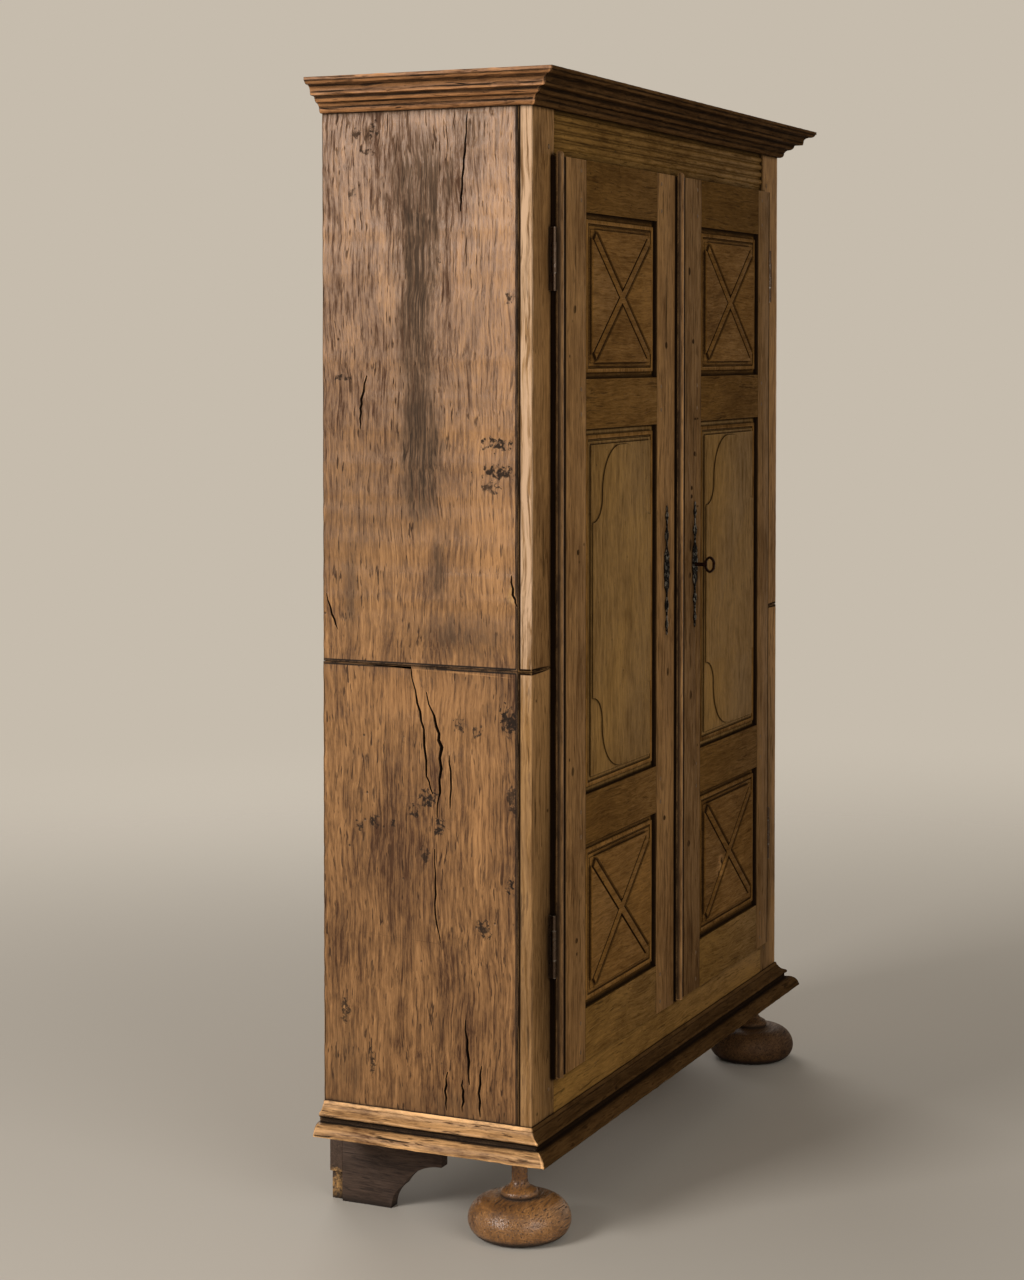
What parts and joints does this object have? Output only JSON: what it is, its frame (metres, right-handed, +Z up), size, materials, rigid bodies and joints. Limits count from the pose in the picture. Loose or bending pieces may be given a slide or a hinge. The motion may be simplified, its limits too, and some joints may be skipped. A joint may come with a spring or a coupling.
{
  "type": "two-door linen press",
  "caption": "Tall oak linen press: a cupboard on bun and bracket feet with a moulded cornice, carved panel doors that swing, shelves, a lock with its key, and a slide bolt.",
  "frame": {"origin": "on the floor, under the middle of the overall box", "axes": "+X to the right seen from the front, +Y from front to back, +Z up"},
  "size_m": [1.382, 0.475, 1.925],
  "materials": {
    "waxed_oak": "waxed satin",
    "plain_oak": "bare matt",
    "dark_oak": "dark stained matt",
    "iron": "forged, dark and worn"
  },
  "bodies": {
    "case": {"back_boards_lower": "plain_oak", "back_boards_upper": "plain_oak", "base_moulding_front": "waxed_oak", "base_moulding_left": "waxed_oak", "base_moulding_right": "waxed_oak", "bottom_board": "plain_oak", "bottom_rail": "waxed_oak", "bun_foot_left": "waxed_oak", "bun_foot_right": "waxed_oak", "cornice_front": "waxed_oak", "cornice_left": "waxed_oak", "cornice_right": "waxed_oak", "foot_blocks": "plain_oak", "frieze_rail": "waxed_oak", "front_stile_lower_left": "waxed_oak", "front_stile_lower_right": "waxed_oak", "front_stile_upper_left": "waxed_oak", "front_stile_upper_right": "waxed_oak", "hinge_pintles": "iron", "rear_bracket_backs": "dark_oak", "rear_brackets": "dark_oak", "seam_dowels": "plain_oak", "shelf_cleats": "plain_oak", "shelf_lower": "plain_oak", "shelf_middle": "plain_oak", "shelf_upper": "plain_oak", "side_board_lower_left": "waxed_oak", "side_board_lower_right": "waxed_oak", "side_board_upper_left": "waxed_oak", "side_board_upper_right": "waxed_oak", "top_boards": "plain_oak"},
    "door_left": {"door_left_bead": "waxed_oak", "door_left_bottom_rail": "waxed_oak", "door_left_escutcheon": "iron", "door_left_hinge_leaves": "iron", "door_left_hinge_stile": "waxed_oak", "door_left_lower_panel": "waxed_oak", "door_left_meeting_stile": "waxed_oak", "door_left_mid_rails": "waxed_oak", "door_left_middle_panel": "waxed_oak", "door_left_top_rail": "waxed_oak", "door_left_upper_panel": "waxed_oak", "lock_keeper": "iron", "slide_guides": "iron"},
    "door_right": {"door_right_bead": "waxed_oak", "door_right_bottom_rail": "waxed_oak", "door_right_escutcheon": "iron", "door_right_hinge_leaves": "iron", "door_right_hinge_stile": "waxed_oak", "door_right_lock_stile": "waxed_oak", "door_right_lower_panel": "waxed_oak", "door_right_mid_rails": "waxed_oak", "door_right_middle_panel": "waxed_oak", "door_right_top_rail": "waxed_oak", "door_right_upper_panel": "waxed_oak", "lock_case": "iron"},
    "key": {"key": "iron"},
    "lock_bolt": {"lock_bolt": "iron"},
    "slide_bolt": {"slide_bolt": "iron"}
  },
  "joints": [
    {"name": "door_left_hinge", "type": "hinge", "parent": "case", "child": "door_left", "pos_m": [-0.554, -0.1815, 1.0225], "axis": [0, 0, -1], "range_deg": [0, 150]},
    {"name": "door_right_hinge", "type": "hinge", "parent": "case", "child": "door_right", "pos_m": [0.554, -0.1815, 1.0225], "axis": [0, 0, 1], "range_deg": [0, 150]},
    {"name": "key_turn", "type": "hinge", "parent": "door_right", "child": "key", "pos_m": [0.111, -0.1835, 1.067], "axis": [0, -1, 0], "range_deg": [0, 180]},
    {"name": "lock_bolt_slide", "type": "slide", "parent": "door_right", "child": "lock_bolt", "axis": [-1, 0, 0], "range_m": [0, 0.0235]},
    {"name": "slide_bolt_slide", "type": "slide", "parent": "door_left", "child": "slide_bolt", "axis": [0, 0, 1], "range_m": [0, 0.02]}
  ],
  "couplings": [
    {"joint": "lock_bolt_slide", "follows": "key_turn", "m_per_rad": 0.0070028}
  ]
}
